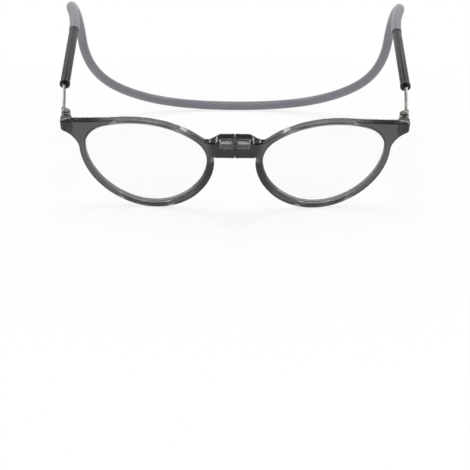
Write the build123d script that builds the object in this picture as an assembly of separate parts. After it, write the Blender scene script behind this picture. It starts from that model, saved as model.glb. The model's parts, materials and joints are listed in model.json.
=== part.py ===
from build123d import *
from math import asin, atan2, cos, degrees, hypot, radians, sin, sqrt, tan
import os

# Magnetic bridge reading glasses, in millimetres.
# The wearing frame has x across the face (the wearer's left is +x), y towards the back
# of the head and z up, with y = 0 at the middle of the front and z = 0 about half way
# up the lenses. At the end everything is tipped onto its rest: the two rims and the back
# of the neck band lie on z = 0.

# Front, seen square on. The widest part of a lens opening is at eye_z.
opening_gap = 22.8
opening_width = 48.8
opening_height = 42.3
eye_z = 5.0
opening_inward_share = 0.49
opening_up_share = 0.395
end_width = 9.8
rim_top = 1.9
rim_bottom = 2.2
rim_outer_side = 2.6
rim_nose_side = 3.3

# How much tighter than a circle each corner of the opening is
eye_corner_share = 0.33
eye_brow_share = 0.51
eye_cheek_share = 2.0
eye_nose_share = 1.41

# Front, seen from above
front_radius = 228.0
front_depth = 2.8
rim_bevel = 0.45

# End pieces that carry the hinges
lug_fall = 5.4
lug_height = 4.5
lug_width = 4.6
lug_depth = 3.2
lug_slope = 0.8
lug_corner_radius = 0.8
lug_wrap_radius = 1.4
lug_inner_radius = 1.4
lug_under_radius = 8.0
lug_under_drop = 3.4

# Magnetic bridge
bridge_fall = 4.8
bridge_height = 8.4
bridge_flat = 6.2
bridge_dip = 2.8
bridge_dip_run = 0.6
bridge_breast = 8.4
bridge_front = -3.2
bridge_rear = 2.6
bridge_fillet = 2.4
hump_radius = 6.0
breast_radius = 4.0
breast_foot_radius = 1.2
keyhole_depth = 1.1
keyhole_rise = 2.3
keyhole_height = 5.3
keyhole_fillet = 0.9
seam_gap = 0.1
seam_bevel = 0.3
magnet_length = 6.0
magnet_depth = 2.0
magnet_height = 2.9
magnet_edge = 0.2
magnet_front_cover = 0.9
magnet_top_cover = 0.7
magnet_clearance = 0.05

# Lenses and their groove
lens_thickness = 1.5
lens_seat = 0.7
lens_clearance = 0.1
lens_side_clearance = 0.05

# Moulded nose pads
pad_top_share = -0.02
pad_bottom_share = 0.8
pad_reach = 4.4
pad_swell_share = 0.55
pad_crest_share = 0.95
pad_thickness = 1.9
pad_inset = 0.25

# Temple hinges
temple_drop = 6.7
hinge_inset = 1.8
hinge_setback = 2.8
hinge_fall = 3.1
barrel_radius = 1.9
barrel_height = 4.0
knuckle_height = 1.6
knuckle_gap = 0.05
barrel_relief = 0.2
screw_radius = 0.65
screw_head_radius = 1.35
screw_head_height = 0.6
screw_slot_width = 0.35
screw_slot_depth = 0.3
screw_fit = 0.02
hinge_fit = 0.05
leaf_thickness = 1.2
leaf_offset = 1.0
anchor_height = 2.6
anchor_length = 4.6
anchor_clearance = 0.04

# Metal temples, a tapered blade that runs into a flat bar
temple_outset = 0.8
blade_thickness = 1.3
blade_height = 3.8
blade_root = 3.0
blade_web_radius = 2.0
blade_length = 20.5
bar_thickness = 1.2
bar_height = 2.0
bar_end = 50.0
stop_radius = 1.38
stop_length = 3.0
stop_start = 46.5
stop_fit = 0.02

# Sleeves that the bars slide in
sleeve_start = 23.6
sleeve_length = 42.0
sleeve_radius = 2.0
sleeve_bore_radius = 1.45
collar_radius = 2.2
collar_flange = 1.2
collar_spigot = 3.0
collar_fit = 0.08
bush_length = 3.0
bush_gap = 0.1
bush_fit = 0.02
seat_fit = 0.02

# Neck band, a round silicone tube
band_radius = 2.2
band_reach = 63.1
band_drop = 97.0
band_first_run = 9.3
band_arc_share = 0.45
plug_seat = 8.0
plug_spigot_radius = 1.0
plug_spigot = 4.0
plug_fit = 0.04

# Corners of the band's route, as shares of temple_x outwards, band_reach back and
# band_drop down from the end of the sleeve
band_route_shares = [
    (1.067, 0.442, 0.062),
    (1.053, 0.757, 0.284),
    (1.027, 0.740, 0.579),
    (0.832, 0.814, 0.795),
    (0.394, 1.0, 1.0),
]

# One overrun for every cut
overrun = 8.0

opening_x = opening_gap / 2
half_width = opening_x + opening_width + end_width
eye_inward = opening_width * opening_inward_share
eye_outward = opening_width - eye_inward
eye_up = opening_height * opening_up_share
eye_down = opening_height - eye_up
eye_x = opening_x + eye_inward
brow_z = eye_z + eye_up
nose_x = opening_x - rim_nose_side
lug_top = brow_z - lug_fall
lug_bottom = lug_top - lug_height
lug_rear = front_radius - (front_radius**2 - half_width**2) ** 0.5 + lug_depth
bridge_top = brow_z - bridge_fall
bridge_bottom = bridge_top - bridge_height
keyhole_x = nose_x + keyhole_depth
keyhole_low = bridge_bottom - keyhole_rise
keyhole_end = bridge_bottom - keyhole_height
hinge_x = half_width - hinge_inset
hinge_y = lug_rear + hinge_setback
hinge_z = lug_top - hinge_fall
temple_x = half_width + temple_outset
hinge_place = Location((hinge_x, hinge_y, hinge_z), (-temple_drop, 0, 0))
sleeve_end = sleeve_start + sleeve_length
bar_x = temple_x - hinge_x
magnet_start = seam_gap / 2 + magnet_clearance
magnet_end = magnet_start + magnet_length
collar_back = sleeve_start + collar_spigot
bush_start = collar_back + bush_gap


def big_radius(side, rise, share):
    """Radius of the arc over the top of a quarter oval."""
    return rise + (side - rise) * (1 + 2 * share) / (2 * share)


def quarter_points(side, rise, share):
    """Ends and middles of the two arcs from (side, 0) to (0, rise)."""
    small = rise - share * (side - rise)
    big = big_radius(side, rise, share)
    joint = atan2(1 + 2 * share, 2 * share * (1 + share))
    half_joint = joint / 2
    half_rest = (joint + radians(90)) / 2
    return [
        (side, 0),
        (side - small + small * cos(half_joint), small * sin(half_joint)),
        (side - small + small * cos(joint), small * sin(joint)),
        (big * cos(half_rest), rise - big + big * sin(half_rest)),
        (0, rise),
    ]


def eye_outline(nose, outer, top, bottom):
    """Face of the lens opening, grown by four amounts, seen square on."""
    inward = eye_inward + nose
    outward = eye_outward + outer
    up = eye_up + top
    down = eye_down + bottom
    brow = quarter_points(outward, up, eye_corner_share)
    bridge_brow = quarter_points(inward, up, eye_brow_share)
    cheek = quarter_points(down, outward, eye_cheek_share)
    nose_side = quarter_points(down, inward, eye_nose_share)
    quarters = [
        [(x, z) for x, z in brow],
        [(-x, z) for x, z in reversed(bridge_brow)],
        [(-x, -z) for z, x in reversed(nose_side)],
        [(x, -z) for z, x in cheek],
    ]
    arcs = []
    for points in quarters:
        placed = [(eye_x + x, eye_z + z) for x, z in points]
        arcs.append(ThreePointArc(placed[0], placed[1], placed[2]))
        arcs.append(ThreePointArc(placed[2], placed[3], placed[4]))
    return make_face(Wire(arcs))


def corner(sketch, x, y):
    """Vertex of a sketch nearest to a place."""
    return sketch.vertices().sort_by_distance((x, y, 0))[0]


def rounded(sketch, x, y, radius):
    return fillet(corner(sketch, x, y), radius)


def block(x0, x1, y0, y1, z0, z1):
    size = Box(x1 - x0, y1 - y0, z1 - z0)
    return Pos((x0 + x1) / 2, (y0 + y1) / 2, (z0 + z1) / 2) * size


def rod_along_y(radius, y0, y1, x=0, z=0):
    return Pos(x, (y0 + y1) / 2, z) * Rot(90, 0, 0) * Cylinder(radius, y1 - y0)


def rod_along_z(radius, z0, z1):
    return Pos(0, 0, (z0 + z1) / 2) * Cylinder(radius, z1 - z0)


def square_on(sketch, depth):
    """Solid of a face drawn in x and z, running through the front."""
    return extrude(Plane.XZ * sketch, depth, both=True)


def crossings(whole, parts, x, y):
    """Corners of a face that none of its parts has, the nearest to a place first."""
    old = [v for part in parts for v in part.vertices()]
    found = [v for v in whole.vertices() if all(v.distance_to(o) > seam_gap for o in old)]
    return ShapeList(found).sort_by_distance((x, y, 0))


def end_piece():
    """Face of what carries the hinge, tangent to the rim's brow."""
    side = eye_outward + rim_outer_side
    up = eye_up + rim_top
    brow = big_radius(side, up, eye_corner_share)
    centre_z = eye_z + up - brow
    reach = hypot(half_width - eye_x, lug_top - centre_z)
    turn = atan2(lug_top - centre_z, half_width - eye_x)
    touch = turn + atan2((reach**2 - brow**2) ** 0.5, brow)
    return Polygon(
        (eye_x + eye_outward / 2, eye_z),
        (eye_x + eye_outward - rim_outer_side, lug_bottom - lug_under_drop),
        (half_width, lug_bottom),
        (half_width, lug_top),
        (eye_x + brow * cos(touch), centre_z + brow * sin(touch)),
        align=None,
    )


def bridge_half():
    return Polygon(
        (0, bridge_bottom),
        (opening_x, bridge_bottom),
        (opening_x + bridge_dip_run, bridge_top - bridge_dip),
        (bridge_flat, bridge_top),
        (0, bridge_top),
        align=None,
    )


def front_outline():
    """Face of one half of the front, seen square on, and its inner corners to be eased."""
    rim = eye_outline(rim_nose_side, rim_outer_side, rim_top, rim_bottom)
    end = end_piece()
    shape = rim + end
    under = crossings(shape, (rim, end), half_width, lug_bottom)[0]
    shape = rounded(shape, half_width, lug_top, lug_corner_radius)
    shape = rounded(shape, half_width, lug_bottom, lug_corner_radius)
    bridge = bridge_half()
    whole = shape + bridge
    dip = crossings(whole, (shape, bridge), nose_x, bridge_top)[0]
    whole = rounded(whole, bridge_flat, bridge_top, hump_radius)
    keyhole = Polygon(
        (0, keyhole_end),
        (nose_x, keyhole_end),
        (keyhole_x, keyhole_low),
        (keyhole_x, bridge_bottom),
        (0, bridge_bottom),
        align=None,
    )
    shape = whole - keyhole
    notch = crossings(shape, (whole, keyhole), nose_x, keyhole_end)[0]
    shape = rounded(shape, keyhole_x, bridge_bottom, keyhole_fillet)
    shape = rounded(shape, keyhole_x, keyhole_low, keyhole_fillet)
    corners = (
        (under, lug_under_radius),
        (dip, bridge_fillet),
        (notch, keyhole_fillet),
    )
    return shape, corners


def front_plan():
    """Face of one half of the front, seen from above."""
    outer = Pos(0, front_radius) * Circle(front_radius + front_depth / 2)
    inner = Pos(0, front_radius) * Circle(front_radius - front_depth / 2)
    window = Pos(half_width / 2, lug_rear / 2) * Rectangle(half_width, lug_rear + overrun)
    sheet = (outer - inner) & window
    lug = Polygon(
        (half_width - lug_width, 0),
        (half_width, 0),
        (half_width, lug_rear),
        (half_width - lug_width, lug_rear),
        align=None,
    )
    bridge = Polygon(
        (0, bridge_front),
        (bridge_breast, bridge_front),
        (opening_x, -front_depth / 4),
        (opening_x, front_depth / 4),
        (bridge_flat, bridge_rear),
        (0, bridge_rear),
        align=None,
    )
    shape = sheet + (lug & outer) + bridge
    shape = rounded(shape, half_width, lug_rear / 2, lug_wrap_radius)
    shape = rounded(shape, half_width, lug_rear, lug_corner_radius)
    shape = rounded(shape, half_width - lug_width, lug_rear, lug_corner_radius)
    shape = rounded(shape, half_width - lug_width, lug_rear * 3 / 4, lug_inner_radius)
    foot = crossings(shape, (outer, bridge), opening_x, bridge_front)[0]
    shape = rounded(shape, foot.X, foot.Y, breast_foot_radius)
    shape = rounded(shape, bridge_breast, bridge_front, breast_radius)
    return rounded(shape, bridge_flat, bridge_rear, bridge_fillet)


def curved_sheet(thickness):
    """Everything within half a thickness of the middle of the front."""
    outer = Pos(0, front_radius) * Circle(front_radius + thickness / 2)
    inner = Pos(0, front_radius) * Circle(front_radius - thickness / 2)
    return extrude(outer - inner, opening_height, both=True)


def nose_pad():
    """Blade that stands back from the nose side of a rim."""
    pad_top = eye_z - eye_down * pad_top_share
    pad_bottom = eye_z - eye_down * pad_bottom_share
    outer = rim_nose_side - pad_inset
    inner = outer - pad_thickness
    strip = eye_outline(outer, 0, 0, outer)
    strip = strip - eye_outline(inner, 0, 0, inner)
    middle = (pad_top + pad_bottom) / 2
    window = Pos(eye_x - eye_inward, middle) * Rectangle(eye_inward, pad_top - pad_bottom)
    strip = strip & window
    rear = front_depth / 2
    rise = pad_top - pad_bottom
    bow = Bezier(
        (rear, pad_bottom),
        (rear + pad_reach, pad_bottom + rise * pad_swell_share),
        (rear + pad_reach * 4 / 3, pad_bottom + rise * pad_crest_share),
        (rear, pad_top),
    )
    back = Polyline((rear, pad_top), (0, pad_top), (0, pad_bottom), (rear, pad_bottom))
    side = make_face([bow, back])
    return square_on(strip, overrun * 2) & extrude(Plane.YZ * side, eye_x)


def front_rim():
    outline, corners = front_outline()
    shape = square_on(outline, lug_rear + overrun)
    for place, radius in corners:
        edges = shape.edges().filter_by(Axis.Y)
        shape = fillet(edges.sort_by_distance((place.X, 0, place.Y))[0], radius)
    shape = shape & extrude(front_plan(), opening_height, both=True)
    shape = shape - square_on(eye_outline(0, 0, 0, 0), lug_rear + overrun)
    shape = shape - sloped_top()
    shape = shape - block(-overrun, seam_gap / 2, -overrun, overrun, 0, opening_height)
    seam = shape.faces().sort_by(Axis.X)[0]
    return chamfer(seam.outer_wire().edges(), seam_bevel)


def sloped_top():
    """What is cut off so that the end piece falls towards the hinge."""
    brink = lug_rear - lug_depth
    reach = lug_rear + overrun
    fall = lug_slope * (reach - brink) / (lug_rear - brink)
    side = Polygon(
        (brink, lug_top),
        (reach, lug_top - fall),
        (reach, lug_top + overrun),
        (brink, lug_top + overrun),
        align=None,
    )
    return extrude(Plane.YZ * side, half_width + overrun)


def bevelled(shape):
    """The opening's front edge broken by a small bevel."""
    face_radius = front_radius + front_depth / 2
    faces = shape.faces().filter_by(GeomType.CYLINDER)
    front = [f for f in faces if abs(f.radius - face_radius) < seam_gap]
    return chamfer(front[0].inner_wires()[0].edges(), rim_bevel)


def thinned(shape):
    """The rim below the bridge brought back to the depth of the rest, at a slope in front."""
    under = Polygon(
        (-overrun, -opening_height),
        (overrun, -opening_height),
        (overrun, bridge_bottom),
        (front_depth / 2, bridge_bottom),
        (-front_depth / 4, keyhole_end),
        (bridge_front, bridge_bottom),
        (-overrun, bridge_bottom),
        align=None,
    )
    below = extrude(Plane.YZ * under, opening_x)
    return shape - (below - curved_sheet(front_depth))


def lens():
    outline = eye_outline(lens_seat, lens_seat, lens_seat, lens_seat)
    return square_on(outline, lug_rear) & curved_sheet(lens_thickness)


def lens_groove():
    depth = lens_seat + lens_clearance
    outline = eye_outline(depth, depth, depth, depth)
    width = lens_thickness + 2 * lens_side_clearance
    return square_on(outline, lug_rear) & curved_sheet(width)


def magnet_block(start, end, fit):
    """Room of the bar magnet in the bridge, wider by the fit all round."""
    front = bridge_front + magnet_front_cover
    top = bridge_top - magnet_top_cover
    low = top - magnet_height
    return block(start, end, front - fit, front + magnet_depth + fit, low - fit, top + fit)


def magnet():
    shape = magnet_block(magnet_start, magnet_end, 0)
    return fillet(shape.edges(), magnet_edge)


def hinge_leaf():
    half = barrel_height / 2
    inner = knuckle_height / 2 + knuckle_gap
    x0 = -leaf_offset - leaf_thickness / 2
    x1 = x0 + leaf_thickness
    web_end = -barrel_radius - barrel_relief
    seat = lug_rear - hinge_y
    shape = block(x0, x1, seat - anchor_length, web_end, -anchor_height / 2, anchor_height / 2)
    shape = shape + block(x0, x1, seat + barrel_relief, web_end, -half, half)
    for low, high in ((inner, half), (-half, -inner)):
        shape = shape + block(x0, x1, seat + barrel_relief, 0, low, high)
        shape = shape + rod_along_z(barrel_radius, low, high)
    return shape - rod_along_z(screw_radius + screw_fit, -half, half)


def anchor_slot():
    half = anchor_height / 2 + anchor_clearance
    x0 = -leaf_offset - leaf_thickness / 2 - anchor_clearance
    x1 = x0 + leaf_thickness + 2 * anchor_clearance
    seat = lug_rear - hinge_y
    return block(x0, x1, seat - anchor_length - anchor_clearance, 0, -half, half)


def hinge_screw():
    half = barrel_height / 2
    top = half + screw_head_height
    shape = rod_along_z(screw_radius, -half, half)
    shape = shape + rod_along_z(screw_head_radius, half, top)
    slot = screw_slot_width / 2
    reach = screw_head_radius * 2
    return shape - block(-slot, slot, -reach, reach, top - screw_slot_depth, top + overrun)


def blade_web(face):
    """The blade's inner face, at x = face, run into the barrel by a hollow curve."""
    middle_x = face - blade_web_radius
    middle_y = sqrt((barrel_radius + blade_web_radius) ** 2 - middle_x**2)
    corner = Polygon((middle_x, middle_y), (0, 0), (face, 0), (face, middle_y), align=None)
    return corner - Pos(middle_x, middle_y) * Circle(blade_web_radius)


def temple_blade():
    root = barrel_radius - blade_thickness
    thin = bar_x - bar_thickness / 2
    thick = bar_x + bar_thickness / 2
    plan = Polygon(
        (root, 0),
        (barrel_radius, 0),
        (barrel_radius, blade_root),
        (thick, blade_length),
        (thick, bar_end),
        (thin, bar_end),
        (thin, blade_length),
        (root, blade_root),
        align=None,
    )
    side = Polygon(
        (0, -blade_height / 2),
        (blade_root, -blade_height / 2),
        (blade_length, -bar_height / 2),
        (bar_end, -bar_height / 2),
        (bar_end, bar_height / 2),
        (blade_length, bar_height / 2),
        (blade_root, blade_height / 2),
        (0, blade_height / 2),
        align=None,
    )
    shape = extrude(Plane.YZ * side, overrun, both=True)
    shape = extrude(plan + blade_web(root), overrun, both=True) & shape
    knuckle = knuckle_height / 2
    clear = barrel_radius + barrel_relief
    shape = shape - rod_along_z(clear, knuckle, overrun)
    shape = shape - rod_along_z(clear, -overrun, -knuckle)
    shape = shape + rod_along_z(barrel_radius, -knuckle, knuckle)
    return shape - rod_along_z(screw_radius + hinge_fit, -overrun, overrun)


def bar_hole(y0, y1, fit):
    x0 = bar_x - bar_thickness / 2 - fit
    x1 = bar_x + bar_thickness / 2 + fit
    half = bar_height / 2 + fit
    return block(x0, x1, y0, y1, -half, half)


def rod_stop():
    stop_end = stop_start + stop_length
    shape = rod_along_y(stop_radius, stop_start, stop_end, bar_x)
    return shape - bar_hole(stop_start, stop_end, stop_fit)


def sleeve():
    shape = rod_along_y(sleeve_radius, sleeve_start, sleeve_end, bar_x)
    return shape - rod_along_y(sleeve_bore_radius, sleeve_start, sleeve_end, bar_x)


def sleeve_collar():
    front = sleeve_start - collar_flange
    shape = rod_along_y(collar_radius, front, sleeve_start, bar_x)
    spigot = sleeve_bore_radius - seat_fit
    shape = shape + rod_along_y(spigot, sleeve_start, collar_back, bar_x)
    return shape - bar_hole(front, collar_back, collar_fit)


def friction_bush():
    bush_end = bush_start + bush_length
    shape = rod_along_y(sleeve_bore_radius - seat_fit, bush_start, bush_end, bar_x)
    return shape - bar_hole(bush_start, bush_end, bush_fit)


def band_plug():
    seat = sleeve_end - plug_seat
    shape = rod_along_y(sleeve_bore_radius - seat_fit, seat, sleeve_end, bar_x)
    return shape + rod_along_y(plug_spigot_radius, sleeve_end, sleeve_end + plug_spigot, bar_x)


def band_route():
    """Corners of the band's middle line, from the left sleeve to the right one."""
    start = (hinge_place * Pos(bar_x, sleeve_end, 0)).position
    second = (hinge_place * Pos(bar_x, sleeve_end + band_first_run, 0)).position
    points = [start, second]
    for out, back, down in band_route_shares:
        points.append(
            Vector(temple_x * out, start.Y + band_reach * back, start.Z - band_drop * down)
        )
    return points + [Vector(-p.X, p.Y, p.Z) for p in reversed(points)]


def band_radii(points):
    radii = []
    for before, here, after in zip(points, points[1:], points[2:]):
        run = min((here - before).length, (after - here).length)
        turn = radians((here - before).get_angle(after - here))
        radii.append(run * band_arc_share / tan(turn / 2))
    return radii


def neck_band():
    """The whole band as one tube, and the plane square to it half way down each side."""
    points = band_route()
    radii = band_radii(points)
    print("band radii", [round(r, 1) for r in radii[: len(radii) // 2]])
    path = FilletPolyline(*points, radius=radii)
    start = Plane(origin=points[0], z_dir=points[1] - points[0])
    tube = sweep(start * Circle(band_radius), path=path)
    print("band length", round(path.length, 1))
    print("band volume", round(tube.volume, 1), round(path.length * Circle(band_radius).area, 1))
    corners = points[4], points[5]
    middle = (corners[0] + corners[1]) / 2
    return tube, Plane(origin=middle, z_dir=corners[1] - corners[0])


def mirrored(shape):
    return mirror(shape, Plane.YZ)


def resting_tilt():
    """Angle that brings the rims' lower front edge and the band's back to one level."""
    rim_y = front_radius - (front_radius**2 - eye_x**2) ** 0.5 - front_depth / 2
    rim_z = eye_z - eye_down - rim_bottom
    back = band_route()[len(band_route_shares) + 1]
    span = hypot(back.Y - rim_y, rim_z - back.Z)
    slope = atan2(rim_z - back.Z, back.Y - rim_y)
    return degrees(slope + asin(band_radius / span))


def build():
    rim = front_rim()
    rim = thinned(bevelled(rim))
    rim = rim + nose_pad()
    rim = rim - lens_groove()
    rim = rim - magnet_block(0, magnet_end + magnet_clearance, magnet_clearance)
    rim = rim - hinge_place * anchor_slot()
    band, side_cut = neck_band()
    bore_length = plug_spigot + plug_fit
    bore = rod_along_y(plug_spigot_radius + plug_fit, sleeve_end, sleeve_end + bore_length, bar_x)
    band = band - hinge_place * bore - mirrored(hinge_place * bore)
    side = split(band, bisect_by=side_cut, keep=Keep.BOTTOM)
    side = side.solids().sort_by(Axis.X)[-1]
    back = band - side - mirrored(side)
    left = {
        "front_rim": rim,
        "lens": lens(),
        "bridge_magnet": magnet(),
        "hinge_leaf": hinge_place * hinge_leaf(),
        "hinge_screw": hinge_place * hinge_screw(),
        "temple_blade": hinge_place * temple_blade(),
        "rod_stop": hinge_place * rod_stop(),
        "sleeve": hinge_place * sleeve(),
        "sleeve_collar": hinge_place * sleeve_collar(),
        "friction_bush": hinge_place * friction_bush(),
        "band_plug": hinge_place * band_plug(),
        "neck_band_side": side,
    }
    nodes = {"neck_band_back": back}
    for name, shape in left.items():
        nodes["left_" + name] = shape
        nodes["right_" + name] = mirrored(shape)
    return nodes, side_cut


def main():
    nodes, side_cut = build()
    tilt = Rot(resting_tilt(), 0, 0)
    tipped = {name: tilt * shape for name, shape in nodes.items()}
    box = Compound(children=[Compound(s.solids()) for s in tipped.values()]).bounding_box()
    seat = Pos(0, -(box.min.Y + box.max.Y) / 2, -box.min.Z)
    place = seat * tilt
    os.makedirs("parts", exist_ok=True)
    for name, shape in tipped.items():
        export_step(seat * shape, f"parts/{name}.step")
    print("tilt", round(resting_tilt(), 3), "size", box.size)
    up = place * Pos(0, 0, 1)
    hinge = place * hinge_place
    pivots = {
        "origin of the wearing frame": place,
        "upright of the wearing frame": up,
        "hinge": hinge,
        "above the hinge": hinge * Pos(0, 0, 1),
        "behind the hinge": hinge * Pos(0, 1, 0),
        "side of the band": place * Location(side_cut.origin),
        "behind the sleeve": hinge * Pos(bar_x, sleeve_end + band_first_run, 0),
    }
    for name, spot in pivots.items():
        print(name, [round(v, 4) for v in spot.position])


main()
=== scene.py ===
import json
from math import cos, pi, radians, sin

import bmesh
import bpy
import numpy
from mathutils import Matrix, Vector


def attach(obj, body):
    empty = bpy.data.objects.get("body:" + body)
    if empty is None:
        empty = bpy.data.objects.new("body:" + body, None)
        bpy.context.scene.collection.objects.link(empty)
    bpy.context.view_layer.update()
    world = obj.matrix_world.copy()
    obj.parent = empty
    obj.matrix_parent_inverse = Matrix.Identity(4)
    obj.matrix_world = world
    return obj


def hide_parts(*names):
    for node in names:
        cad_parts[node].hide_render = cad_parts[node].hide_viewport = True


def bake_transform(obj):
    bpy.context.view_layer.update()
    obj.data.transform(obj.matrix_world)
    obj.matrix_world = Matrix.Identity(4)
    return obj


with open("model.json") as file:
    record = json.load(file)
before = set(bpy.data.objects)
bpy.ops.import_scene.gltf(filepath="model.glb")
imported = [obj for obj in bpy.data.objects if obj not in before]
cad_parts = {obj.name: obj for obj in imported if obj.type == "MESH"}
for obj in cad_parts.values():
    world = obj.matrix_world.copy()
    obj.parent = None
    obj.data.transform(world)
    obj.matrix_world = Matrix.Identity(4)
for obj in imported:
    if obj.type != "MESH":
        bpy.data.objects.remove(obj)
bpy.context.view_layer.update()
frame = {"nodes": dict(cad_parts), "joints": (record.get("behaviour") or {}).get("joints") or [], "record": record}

mm = 0.001
nodes = frame["nodes"]
record = frame["record"]
jointOf = {joint["name"]: joint for joint in frame["joints"]}
slotOf = {part["node"]: part["material_slot"] for part in record["subparts"]}
bodies = record["behaviour"]["bodies"]
bodyOf = {node: body for body, members in bodies.items() for node in members}
sides = ("left", "right")
frontUp = Vector(jointOf["left_spread"]["axis"]).normalized()  # up for one who wears them
print("frame loaded:", len(nodes), "nodes")


# Picking, copying and finishing a piece

def deselectAll():
    if bpy.context.object and bpy.context.object.mode != "OBJECT":
        bpy.ops.object.mode_set(mode="OBJECT")
    bpy.ops.object.select_all(action="DESELECT")


def pick(piece):
    deselectAll()
    piece.select_set(True)
    bpy.context.view_layer.objects.active = piece


def place(name, data):
    piece = bpy.data.objects.new(name, data)
    bpy.context.scene.collection.objects.link(piece)
    return piece


def applyModifier(piece, kind, **values):
    pick(piece)
    modifier = piece.modifiers.new(kind.lower(), kind)
    for key, value in values.items():
        setattr(modifier, key, value)
    bpy.ops.object.modifier_apply(modifier=modifier.name)


softenPull = 0.5  # how far each step moves a point towards its neighbours


def soften(piece, steps, **values):
    applyModifier(piece, "SMOOTH", factor=softenPull, iterations=steps, **values)


mergeReach = 0.002 * mm


def copyOfNode(nodeName, pieceName):
    piece = place(pieceName, nodes[nodeName].data.copy())
    pick(piece)
    bpy.ops.object.mode_set(mode="EDIT")
    bpy.ops.mesh.select_all(action="SELECT")
    bpy.ops.mesh.remove_doubles(threshold=mergeReach)
    bpy.ops.object.mode_set(mode="OBJECT")
    return piece


def dress(piece, slotName):
    piece.data.materials.clear()
    piece.data.materials.append(finishOf[slotName])


def standFor(piece, nodeName):
    dress(piece, slotOf[nodeName])
    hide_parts(nodeName)
    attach(piece, bodyOf[nodeName])


# Shader maths on sockets

class Wire:
    def __init__(self, tree, socket=None):
        self.tree = tree
        self.socket = socket

    def node(self, kind, settings, inputs, output=0):
        made = self.tree.nodes.new(kind)
        for key, value in settings.items():
            setattr(made, key, value)
        for key, value in inputs.items():
            if isinstance(value, Wire):
                self.tree.links.new(value.socket, made.inputs[key])
            else:
                made.inputs[key].default_value = value
        return Wire(self.tree, made.outputs[output])

    def into(self, target, key):
        self.tree.links.new(self.socket, target.inputs[key])

    def maths(self, operation, first, second):
        return self.node("ShaderNodeMath", {"operation": operation}, {0: first, 1: second})

    def __add__(self, other):
        return self.maths("ADD", self, other)

    def __sub__(self, other):
        return self.maths("SUBTRACT", self, other)

    def __mul__(self, other):
        return self.maths("MULTIPLY", self, other)

    def __pow__(self, other):
        return self.maths("POWER", self, other)

    def __rsub__(self, other):
        return self.maths("SUBTRACT", other, self)

    def __rpow__(self, other):
        return self.maths("POWER", other, self)

    __radd__ = __add__
    __rmul__ = __mul__

    def between(self, low, high):  # 0 below low, 1 above high, eased in between
        inputs = {0: self, 1: low, 2: high}
        return self.node("ShaderNodeMapRange", {"interpolation_type": "SMOOTHSTEP"}, inputs)

    def mix(self, first, second):
        return self.node("ShaderNodeMix", {"data_type": "RGBA"}, {0: self, 6: first, 7: second}, 2)

    def noise(self, scale, detail=2.0):
        inputs = {"Vector": self, "Scale": scale, "Detail": detail}
        return self.node("ShaderNodeTexNoise", {}, inputs)

    def stretched(self, scale):
        return self.node("ShaderNodeMapping", {}, {"Vector": self, "Scale": scale})

    def bump(self, strength, depth):
        inputs = {"Height": self, "Strength": strength, "Distance": depth}
        return self.node("ShaderNodeBump", {}, inputs)

    def axis(self, name):
        return self.node("ShaderNodeSeparateXYZ", {}, {0: self}, name)


def newFinish(name, space="Object", **values):
    material = bpy.data.materials.new(name)
    material.use_nodes = True
    shader = material.node_tree.nodes["Principled BSDF"]
    for key, value in values.items():
        shader.inputs[key.replace("_", " ")].default_value = value
    where = Wire(material.node_tree).node("ShaderNodeTexCoord", {}, {}, space)
    return material, shader, where


def grey(value, blue=1.0):
    return (value, value, value * blue, 1.0)


white = grey(1.0)


# Finishes. Scales are per metre. An Edge pair: where a noise starts to show, where it is full.

smoke = {
    "ior": 1.49,
    "through": 0.95,
    "gloss": 0.4,
    "clear": grey(0.88, 1.03),
    "dark": grey(0.035, 1.1),
    "passed": 0.6,  # share of the light that each mm of plastic lets through
    "absorption": 420.0,  # per metre, on top of the tint
    "cloudScale": 70.0,
    "cloudDepth": 0.5,  # mm of plastic that a cloud adds or takes
    "scuffScale": 420.0,
    "scuffEdge": (0.55, 0.75),
    "scuffDull": 0.1,
    "haze": 0.05,
    "rippleScale": 160.0,
    "rippleStrength": 0.03,
    "rippleHeight": 0.2 * mm,
}


def smokyPlastic():
    values = {"IOR": smoke["ior"], "Transmission_Weight": smoke["through"]}
    material, shader, where = newFinish("smokyPlastic", Specular_IOR_Level=smoke["gloss"], **values)
    depth = where.node("ShaderNodeAttribute", {"attribute_name": "depth"}, {}, "Fac")
    cloud = where.noise(smoke["cloudScale"]) - 0.5
    lost = 1.0 - smoke["passed"] ** (depth + cloud * smoke["cloudDepth"])
    lost.mix(smoke["clear"], smoke["dark"]).into(shader, "Base Color")
    scuff = where.noise(smoke["scuffScale"], 4.0).between(*smoke["scuffEdge"])
    (scuff * smoke["scuffDull"] + smoke["haze"]).into(shader, "Roughness")
    ripple = where.noise(smoke["rippleScale"], 1.0)
    ripple.bump(smoke["rippleStrength"], smoke["rippleHeight"]).into(shader, "Normal")
    body = {"Color": grey(0.0), "Density": smoke["absorption"]}
    volume = where.node("ShaderNodeVolumeAbsorption", {}, body)
    volume.into(material.node_tree.nodes["Material Output"], "Volume")
    return material


lensFinish = {
    "ior": 1.5,
    "tint": (0.86, 0.9, 0.93, 1.0),
    "facing": 0.3,
    "edgeVeil": 0.5,
    "veil": 0.035,
    "smearScale": 90.0,
    "smearEdge": (0.45, 0.8),
    "smearVeil": 0.012,
    "smearDull": 0.05,
    "polish": 0.01,
}


def clearLens():
    values = {"IOR": lensFinish["ior"], "Base_Color": lensFinish["tint"]}
    material, shader, where = newFinish("clearLens", **values)
    blend = {"Blend": lensFinish["facing"]}
    facing = where.node("ShaderNodeLayerWeight", {}, blend, "Facing")
    smear = where.noise(lensFinish["smearScale"], 3.0).between(*lensFinish["smearEdge"])
    veil = smear * lensFinish["smearVeil"] + lensFinish["veil"]
    (facing**3 * lensFinish["edgeVeil"] + veil).into(shader, "Alpha")
    (smear * lensFinish["smearDull"] + lensFinish["polish"]).into(shader, "Roughness")
    return material


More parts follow.
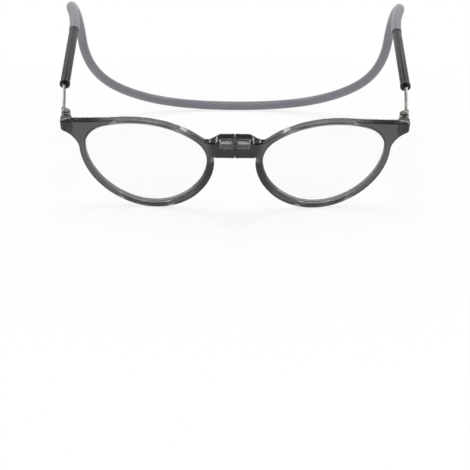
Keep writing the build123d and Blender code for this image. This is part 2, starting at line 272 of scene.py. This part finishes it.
steel = {
    "grainScale": (1800.0, 220.0, 1800.0),  # brushed from front to back
    "stainScale": 300.0,
    "toneEdge": (0.3, 0.7),
    "dark": (0.11, 0.103, 0.096, 1.0),
    "light": (0.29, 0.275, 0.26, 1.0),
    "polish": 0.14,
    "stainDull": 0.2,
    "scratchStrength": 0.2,
    "scratchHeight": 0.03 * mm,
}


def brushedSteel():
    material, shader, where = newFinish("brushedSteel", Metallic=1.0)
    grain = where.stretched(steel["grainScale"]).noise(1.0, 4.0)
    stain = where.noise(steel["stainScale"], 3.0)
    tone = (grain * 0.5 + stain * 0.5).between(*steel["toneEdge"])
    tone.mix(steel["dark"], steel["light"]).into(shader, "Base Color")
    (stain * steel["stainDull"] + steel["polish"]).into(shader, "Roughness")
    grain.bump(steel["scratchStrength"], steel["scratchHeight"]).into(shader, "Normal")
    return material


nickel = {
    "stainScale": 700.0,
    "stainShift": 0.3,  # how far stains move the edge of the painted highlight
    # the colours below: a bright one near the magnet's edges, which is a painted highlight, and a dark one on its
    # faces
    "glintEdge": (0.2, 0.7),
    "darkFace": (0.07, 0.055, 0.047, 1.0),
    "glintColour": grey(0.98, 0.98),
    "polish": 0.08,
    "stainDull": 0.1,
    "glintDull": 0.12,
    "pitStrength": 0.1,
    "pitHeight": 0.02 * mm,
}


def nickelPlate():
    material, shader, where = newFinish("nickelPlate", Metallic=1.0)
    # painted highlight: the edge attribute turns the metal near the magnet's edges bright, standing in for a
    # glint; stains only jitter where it ends
    edge = where.node("ShaderNodeAttribute", {"attribute_name": "edge"}, {}, "Fac")
    stain = where.noise(nickel["stainScale"], 3.0)
    glintAndStain = edge + stain * nickel["stainShift"] - nickel["stainShift"] / 2
    paintedGlint = glintAndStain.between(*nickel["glintEdge"])
    paintedGlint.mix(nickel["darkFace"], nickel["glintColour"]).into(shader, "Base Color")
    dull = stain * nickel["stainDull"] + paintedGlint * nickel["glintDull"] + nickel["polish"]
    dull.into(shader, "Roughness")
    stain.bump(nickel["pitStrength"], nickel["pitHeight"]).into(shader, "Normal")
    return material


rubber = {
    "gloss": 0.35,
    "grainScale": 2600.0,
    "rubScale": (90.0, 30.0, 90.0),  # rubbed along the sleeve
    "rubEdge": (0.4, 0.75),
    "dark": grey(0.014, 1.1),
    "rubbed": grey(0.034, 1.12),
    "polish": 0.3,
    "rubDull": 0.14,
    "grainDull": 0.1,
    "grainStrength": 0.12,
    "grainHeight": 0.02 * mm,
}


def blackSleeve():
    material, shader, where = newFinish("blackSleeve", Specular_IOR_Level=rubber["gloss"])
    grain = where.noise(rubber["grainScale"])
    rub = where.stretched(rubber["rubScale"]).noise(1.0, 4.0).between(*rubber["rubEdge"])
    rub.mix(rubber["dark"], rubber["rubbed"]).into(shader, "Base Color")
    dull = rub * rubber["rubDull"] + grain * rubber["grainDull"] + rubber["polish"]
    dull.into(shader, "Roughness")
    grain.bump(rubber["grainStrength"], rubber["grainHeight"]).into(shader, "Normal")
    return material


bush = {
    "grainScale": 1500.0,
    "dark": grey(0.5, 0.95),
    "light": grey(0.64, 0.95),
    "polish": 0.4,
    "grainDull": 0.15,
    "grainStrength": 0.1,
    "grainHeight": 0.02 * mm,
}


def paleBush():
    material, shader, where = newFinish("paleBush")
    grain = where.noise(bush["grainScale"], 3.0)
    grain.mix(bush["dark"], bush["light"]).into(shader, "Base Color")
    (grain * bush["grainDull"] + bush["polish"]).into(shader, "Roughness")
    grain.bump(bush["grainStrength"], bush["grainHeight"]).into(shader, "Normal")
    return material


silicone = {  # scales are per 100 mm of the band
    "gloss": 0.4,
    "sheen": 0.12,
    "around": (0.14, 1.0, 1.0),  # the way round is shorter than the way along
    "dark": (0.175, 0.175, 0.198, 1.0),
    "light": (0.26, 0.26, 0.292, 1.0),
    "dustScale": 42.0,
    "dustEdge": (0.5, 0.8),
    "dustShare": 0.3,
    "patchScale": 6.0,
    "polish": 0.3,
    "dustDull": 0.12,
    "patchDull": 0.1,
    "skinScale": 300.0,
    "skinStrength": 0.1,
    "skinHeight": 0.02 * mm,
}


def softSilicone():
    values = {"Sheen_Weight": silicone["sheen"], "Specular_IOR_Level": silicone["gloss"]}
    material, shader, where = newFinish("softSilicone", "UV", **values)
    skinAt = where.stretched(silicone["around"])
    dust = skinAt.noise(silicone["dustScale"], 4.0).between(*silicone["dustEdge"])
    patch = skinAt.noise(silicone["patchScale"])
    tone = patch * (1 - silicone["dustShare"]) + dust * silicone["dustShare"]
    tone.mix(silicone["dark"], silicone["light"]).into(shader, "Base Color")
    dull = dust * silicone["dustDull"] + patch * silicone["patchDull"] + silicone["polish"]
    dull.into(shader, "Roughness")
    skin = skinAt.noise(silicone["skinScale"])
    skin.bump(silicone["skinStrength"], silicone["skinHeight"]).into(shader, "Normal")
    return material


finishOf = {
    "front_plastic": smokyPlastic(),
    "lens_clear": clearLens(),
    "magnet_metal": nickelPlate(),
    "hinge_metal": brushedSteel(),
    "sleeve_black": blackSleeve(),
    "bush_plastic": paleBush(),
    "band_silicone": softSilicone(),
}
for nodeName, node in nodes.items():
    node.data.materials.clear()
    node.data.materials.append(finishOf[slotOf[nodeName]])
print("finishes made:", len(finishOf))


# Front halves, solid round their metal, with edges as soft as a tumbled moulding's

frontHalf = {
    "grain": 0.2 * mm,
    "leafCut": 0.3 * mm,  # the leaf's pocket ends this far before the rear face
    "softenings": 9,
    "bridgeSoftenings": 45,
    "bridgeReach": (13.0 * mm, 18.0 * mm),  # the bridge's own softening fades out here
    "seamReach": (0.5 * mm, 2.0 * mm),  # and here it fades in, to keep the seam crisp
    "seamFace": 0.45 * mm,
    "seamClosing": 1.0 * mm,
    "seamGap": 0.004 * mm,
    "depthSmooths": 12,
    "deepest": 9.0,  # mm of plastic that look as dark as any more
    "skin": 0.02 * mm,
    "magnetDepth": 0.1,  # the plastic is tinted clearer over the magnets, so their painted highlight shows through
}


def smoothstep(low, high, value):
    share = min(1.0, max(0.0, (value - low) / (high - low)))
    return share * share * (3 - 2 * share)


def fillPockets(piece, side):
    # the metal is moulded in, so no air lies between it and the plastic
    rear = max(vertex.co.y for vertex in piece.data.vertices)
    magnet = copyOfNode(f"{side}_bridge_magnet", "pocketMagnet")
    leaf = copyOfNode(f"{side}_hinge_leaf", "pocketLeaf")
    bpy.ops.object.mode_set(mode="EDIT")
    bpy.ops.mesh.select_all(action="SELECT")
    bpy.ops.mesh.bisect(
        plane_co=(0, rear - frontHalf["leafCut"], 0),
        plane_no=(0, 1, 0),
        use_fill=True,
        clear_outer=True,
    )
    bpy.ops.object.mode_set(mode="OBJECT")
    pick(piece)
    magnet.select_set(True)
    leaf.select_set(True)
    bpy.ops.object.join()


def softenBridge(piece):
    group = piece.vertex_groups.new(name="bridge")
    for vertex in piece.data.vertices:
        out = abs(vertex.co.x)
        nearBridge = 1 - smoothstep(*frontHalf["bridgeReach"], out)
        offSeam = smoothstep(*frontHalf["seamReach"], out)
        group.add([vertex.index], nearBridge * offSeam, "REPLACE")
    soften(piece, frontHalf["bridgeSoftenings"], vertex_group=group.name)


def closeSeam(piece):
    # the magnets pull the halves together, so no light shows between them
    spots = [vertex.co for vertex in piece.data.vertices]
    shift = min(abs(spot.x) for spot in spots) - frontHalf["seamGap"]
    for spot in spots:
        out = abs(spot.x)
        if out < frontHalf["seamClosing"]:
            share = 1 - out / frontHalf["seamClosing"]
            spot.x *= 1 - share * shift / out


def writeDepth(piece, magnet):
    # how much plastic lies behind each point, which sets how dark it looks
    mesh = piece.data
    deepest = frontHalf["deepest"]
    bpy.context.view_layer.update()
    depths = []
    for vertex in mesh.vertices:
        start = vertex.co - vertex.normal * frontHalf["skin"]
        found = deepest
        for solid, share in ((piece, 1.0), (magnet, frontHalf["magnetDepth"])):
            hit, spot = solid.ray_cast(start, -vertex.normal, distance=deepest * mm)[:2]
            if hit:
                found = min(found, (spot - start).length / mm * share)
        if abs(vertex.co.x) < frontHalf["seamFace"]:
            found = deepest  # painted shade: the seam faces get the darkest tint, so the seam shows as a thin dark line
        depths.append(found)
    depths = numpy.array(depths)
    pairs = numpy.array([edge.vertices for edge in mesh.edges])
    ends = numpy.concatenate([pairs[:, 0], pairs[:, 1]])
    others = numpy.concatenate([pairs[:, 1], pairs[:, 0]])
    count = numpy.bincount(ends) + 1
    for step in range(frontHalf["depthSmooths"]):
        depths = (depths + numpy.bincount(ends, depths[others])) / count
    layer = mesh.attributes.new("depth", "FLOAT", "POINT")
    layer.data.foreach_set("value", depths)


def makeFrontHalf(side):
    piece = copyOfNode(f"{side}_front_rim", f"{side}.frontHalf")
    fillPockets(piece, side)
    applyModifier(piece, "REMESH", mode="VOXEL", voxel_size=frontHalf["grain"])
    softenBridge(piece)
    soften(piece, frontHalf["softenings"])
    bpy.ops.object.shade_smooth()
    closeSeam(piece)
    writeDepth(piece, nodes[f"{side}_bridge_magnet"])
    standFor(piece, f"{side}_front_rim")
    print(piece.name, len(piece.data.polygons), "faces")


for side in sides:
    makeFrontHalf(side)


# Bar magnets, dark metal with a painted highlight along the edges

barMagnet = {
    "grain": 0.1 * mm,
    "softenings": 3,
    "paintedGlint": (0.36, 0.52),  # mm from an edge at which the painted highlight starts and stops to fade
}


def makeMagnet(side):
    piece = copyOfNode(f"{side}_bridge_magnet", f"{side}.bridgeMagnet")
    applyModifier(piece, "REMESH", mode="VOXEL", voxel_size=barMagnet["grain"])
    soften(piece, barMagnet["softenings"])
    bpy.ops.object.shade_smooth()
    across = Vector((1, 0, 0))
    ways = (across, frontUp, frontUp.cross(across))
    spots = [[vertex.co.dot(way) / mm for way in ways] for vertex in piece.data.vertices]
    lows = [min(column) for column in zip(*spots)]
    highs = [max(column) for column in zip(*spots)]
    shine = []
    for spot in spots:
        gaps = sorted(min(at - low, high - at) for at, low, high in zip(spot, lows, highs))
        edgeGap = gaps[1]  # a point on a face is as far from an edge as from the next face
        shine.append(1 - smoothstep(*barMagnet["paintedGlint"], edgeGap))
    # the shine is stored as the edge attribute, which the finish paints as a highlight
    layer = piece.data.attributes.new("edge", "FLOAT", "POINT")
    layer.data.foreach_set("value", shine)
    standFor(piece, f"{side}_bridge_magnet")


for side in sides:
    makeMagnet(side)
print("magnets made:", len(sides))


# Metal and sleeve pieces, with their edges broken

easedPieces = {  # piece's name, width of the broken edge in mm, its steps
    "temple_blade": ("templeBlade", 0.16, 2),
    "hinge_leaf": ("hingeLeaf", 0.1, 2),
    "hinge_screw": ("hingeScrew", 0.07, 2),
    "sleeve": ("sleeve", 0.2, 3),
    "sleeve_collar": ("sleeveCollar", 0.22, 3),
}
flatAngle = radians(0.8)  # CAD triangles that lie flatter than this are one face
sharpAngle = radians(32)


def makeEased(side, nodeName, pieceName, width, steps):
    piece = copyOfNode(f"{side}_{nodeName}", f"{side}.{pieceName}")
    bpy.ops.object.mode_set(mode="EDIT")
    bpy.ops.mesh.select_all(action="SELECT")
    bpy.ops.mesh.dissolve_limited(angle_limit=flatAngle)
    bpy.ops.object.mode_set(mode="OBJECT")
    applyModifier(
        piece,
        "BEVEL",
        width=width * mm,
        segments=steps,
        limit_method="ANGLE",
        angle_limit=sharpAngle,
        use_clamp_overlap=True,
    )
    bpy.ops.object.shade_smooth_by_angle(angle=sharpAngle)
    standFor(piece, f"{side}_{nodeName}")


for nodeName, (pieceName, width, steps) in easedPieces.items():
    for side in sides:
        makeEased(side, nodeName, pieceName, width, steps)
print("eased pieces made:", len(sides) * len(easedPieces))


# Neck band, one smooth tube that is parted where its pieces bend

band = {
    "radius": 2.2 * mm,
    "ringPoints": 32,
    "lineSteps": 24,
    "run": 9.3,  # mm, as are the next three
    "reach": 63.1,
    "fall": 97.0,
    "width": 70.8,
    "route": [  # shares of width, reach and fall
        (1.067, 0.442, 0.062),
        (1.053, 0.757, 0.284),
        (1.027, 0.740, 0.579),
        (0.832, 0.814, 0.795),
        (0.394, 1.0, 1.0),
    ],
    "lowBend": 12,  # rings each side of a joint that take its bend
    "highBend": 8,
    "lowSpare": 2,  # rings between that bend and the cut
    "uvLength": 100 * mm,
}


def bandRoute():
    back = Vector((0.0, frontUp.z, -frontUp.y))
    along = Vector(jointOf["left_length"]["axis"]).normalized()
    second = Vector(jointOf["left_band_give"]["pos_m"])
    first = second + along * band["run"] * mm
    points = [first, second]
    for out, far, down in band["route"]:
        spot = first + (back * band["reach"] * far - frontUp * band["fall"] * down) * mm
        spot.x = band["width"] * out * mm
        points.append(spot)
    return points + [Vector((-p.x, p.y, p.z)) for p in reversed(points)]


def smoothLine(points):
    curve = bpy.data.curves.new("bandLine", "CURVE")
    curve.dimensions = "3D"
    spline = curve.splines.new("NURBS")
    spline.points.add(len(points) - 1)
    for target, point in zip(spline.points, points):
        target.co = (*point, 1)
    spline.order_u = 3
    spline.use_endpoint_u = True
    spline.resolution_u = band["lineSteps"]
    carrier = place("bandLine", curve)
    mesh = bpy.data.meshes.new_from_object(carrier)
    line = [vertex.co.copy() for vertex in mesh.vertices]
    bpy.data.objects.remove(carrier)
    return line


def ringsAlong(line):
    rings = []
    across = Vector((1, 0, 0))
    final = len(line) - 1
    turns = [2 * pi * k / band["ringPoints"] for k in range(band["ringPoints"])]
    for i, spot in enumerate(line):
        ahead = (line[min(i + 1, final)] - line[max(i - 1, 0)]).normalized()
        across = (across - ahead * across.dot(ahead)).normalized()
        over = ahead.cross(across)
        rings.append([spot + (across * cos(t) + over * sin(t)) * band["radius"] for t in turns])
    return rings


def tubePiece(name, line, rings, first, last):
    mesh = bpy.data.meshes.new(name)
    build = bmesh.new()
    uvLayer = build.loops.layers.uv.new("along")
    grid = [[build.verts.new(p) for p in ring] for ring in rings[first : last + 1]]
    far = [0.0]
    for a, b in zip(line, line[1:]):
        far.append(far[-1] + (b - a).length / band["uvLength"])
    count = band["ringPoints"]
    for i in range(len(grid) - 1):
        for k in range(count):
            corners = [(i, k), (i, k + 1), (i + 1, k + 1), (i + 1, k)]
            face = build.faces.new([grid[r][c % count] for r, c in corners])
            face.smooth = True
            for loop, (r, c) in zip(face.loops, corners):
                loop[uvLayer].uv = (c / count, far[first + r])
    build.faces.new(grid[0])
    build.faces.new(list(reversed(grid[-1])))
    bmesh.ops.recalc_face_normals(build, faces=build.faces)
    build.to_mesh(mesh)
    build.free()
    outward = []  # the same at a cut as on the next piece, so that no line shows there
    for middle, ring in zip(line[first : last + 1], rings[first : last + 1]):
        outward += [(p - middle).normalized() for p in ring]
    mesh.normals_split_custom_set_from_vertices(outward)
    piece = place(name, mesh)
    dress(piece, "band_silicone")
    return piece


def makeBand():
    line = smoothLine(bandRoute())
    rings = ringsAlong(line)
    final = len(line) - 1

    def ringAt(jointName):
        spot = Vector(jointOf[jointName]["pos_m"])
        return min(range(len(line)), key=lambda i: (line[i] - spot).length)

    ends = []
    for side, inward, tip in (("left", 1, 0), ("right", -1, final)):
        low = ringAt(f"{side}_spread")
        high = ringAt(f"{side}_band_give")
        lowCut = low + inward * (band["lowBend"] + band["lowSpare"])
        middle = (low + high) // 2
        lower = tubePiece(f"{side}.bandLower", line, rings, *sorted((lowCut, middle)))
        upper = tubePiece(f"{side}.bandUpper", line, rings, *sorted((middle, tip)))
        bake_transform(lower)
        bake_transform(upper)
        for piece in (lower, upper):
            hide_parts(f"{side}_neck_band_side")
        ends.append(lowCut)
    back = tubePiece("bandBack", line, rings, *sorted(ends))
    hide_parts("neck_band_back")
    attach(back, "neck")
    print("band made:", len(line), "rings")


makeBand()


# Floor, light and camera

stage = {
    "size": 8.0,
    "paper": grey(0.95),
    "dull": 0.9,
    "glow": 0.78,  # share of white that seen paper adds, under and near the glasses
    "fade": (0.1, 0.25),  # metres out over which that becomes all white
}
sky = {
    "diffuse": 0.42,
    "dim": 0.1,  # what gloss and glass see in front
    "fade": (0.1, 0.75),  # from there to white behind the glasses
}
lamps = {  # place, size across, size along, watts
    "leftStrip": ((0.7, 0.36, 1.0), 1.24, 0.14, 3.4),
    "rightStrip": ((-0.7, 0.36, 1.0), 1.24, 0.14, 3.4),
    "bridgeLight": ((0.0, -0.13, 0.95), 0.3, 0.64, 2.2),
    "frontStrip": ((0.0, -0.9, 0.6), 1.4, 0.06, 1.4),
    "frontSoftbox": ((-0.45, -0.6, 1.1), 0.7, 0.7, 0.9),
}


def rayKind(start, kind):
    return start.node("ShaderNodeLightPath", {}, {}, f"Is {kind} Ray")


def shinyRay(start):
    return start.maths("MAXIMUM", rayKind(start, "Glossy"), rayKind(start, "Transmission"))


def makeFloor():
    deselectAll()
    bpy.ops.mesh.primitive_plane_add(size=stage["size"], location=(0, 0, 0))
    floor = bpy.context.object
    floor.name = "floor"
    values = {"Roughness": stage["dull"], "Base_Color": stage["paper"]}
    material, shader, where = newFinish("floorPaper", **values)
    distance = where.node("ShaderNodeVectorMath", {"operation": "LENGTH"}, {0: where}, "Value")
    far = distance.between(*stage["fade"])
    seen = where.maths("MAXIMUM", rayKind(where, "Camera"), shinyRay(where))
    share = (far * (1 - stage["glow"]) + stage["glow"]) * seen
    glow = where.node("ShaderNodeEmission", {}, {"Color": white, "Strength": 1.0})
    paper = Wire(material.node_tree, shader.outputs[0])
    mixed = where.node("ShaderNodeMixShader", {}, {0: share, 1: paper, 2: glow})
    mixed.into(material.node_tree.nodes["Material Output"], "Surface")
    floor.data.materials.append(material)


def makeSky():
    world = bpy.data.worlds.new("studio")
    bpy.context.scene.world = world
    world.use_nodes = True
    start = Wire(world.node_tree)
    direction = start.node("ShaderNodeTexCoord", {}, {}, "Generated")
    behind = direction.axis("Y").between(*sky["fade"])
    room = behind * (1 - sky["dim"]) + sky["dim"]
    plain = shinyRay(start) * (room - sky["diffuse"]) + sky["diffuse"]
    strength = start.maths("MAXIMUM", plain, rayKind(start, "Camera"))
    background = world.node_tree.nodes["Background"]
    background.inputs["Color"].default_value = white
    strength.into(background, "Strength")


def makeLamps():
    for name, (spot, across, along, power) in lamps.items():
        lamp = bpy.data.lights.new(name, "AREA")
        lamp.shape = "RECTANGLE"
        lamp.size = across
        lamp.size_y = along
        lamp.energy = power
        piece = place(name, lamp)
        piece.location = spot
        piece.rotation_euler = (-Vector(spot)).to_track_quat("-Z", "Y").to_euler()


view = {  # mm and degrees
    "spot": (-1.4, -642.8, 189.9),
    "down": 19.44,
    "turn": -0.175,
    "roll": 0.45,
    "lens": 111.66,
    "nearest": 10.0,
}


def makeCamera():
    camera = place("camera", bpy.data.cameras.new("camera"))
    camera.data.lens = view["lens"]
    camera.data.clip_start = view["nearest"] * mm
    turn = Matrix.Rotation(radians(view["turn"]), 4, "Z")
    tilt = Matrix.Rotation(radians(90 - view["down"]), 4, "X")
    roll = Matrix.Rotation(radians(view["roll"]), 4, "Z")
    spot = Matrix.Translation(Vector(view["spot"]) * mm)
    camera.matrix_world = spot @ turn @ tilt @ roll
    bpy.context.scene.camera = camera


makeFloor()
makeSky()
makeLamps()
makeCamera()
bpy.context.scene.view_settings.view_transform = "Standard"
print("floor, sky, lamps and camera placed")

deselectAll()
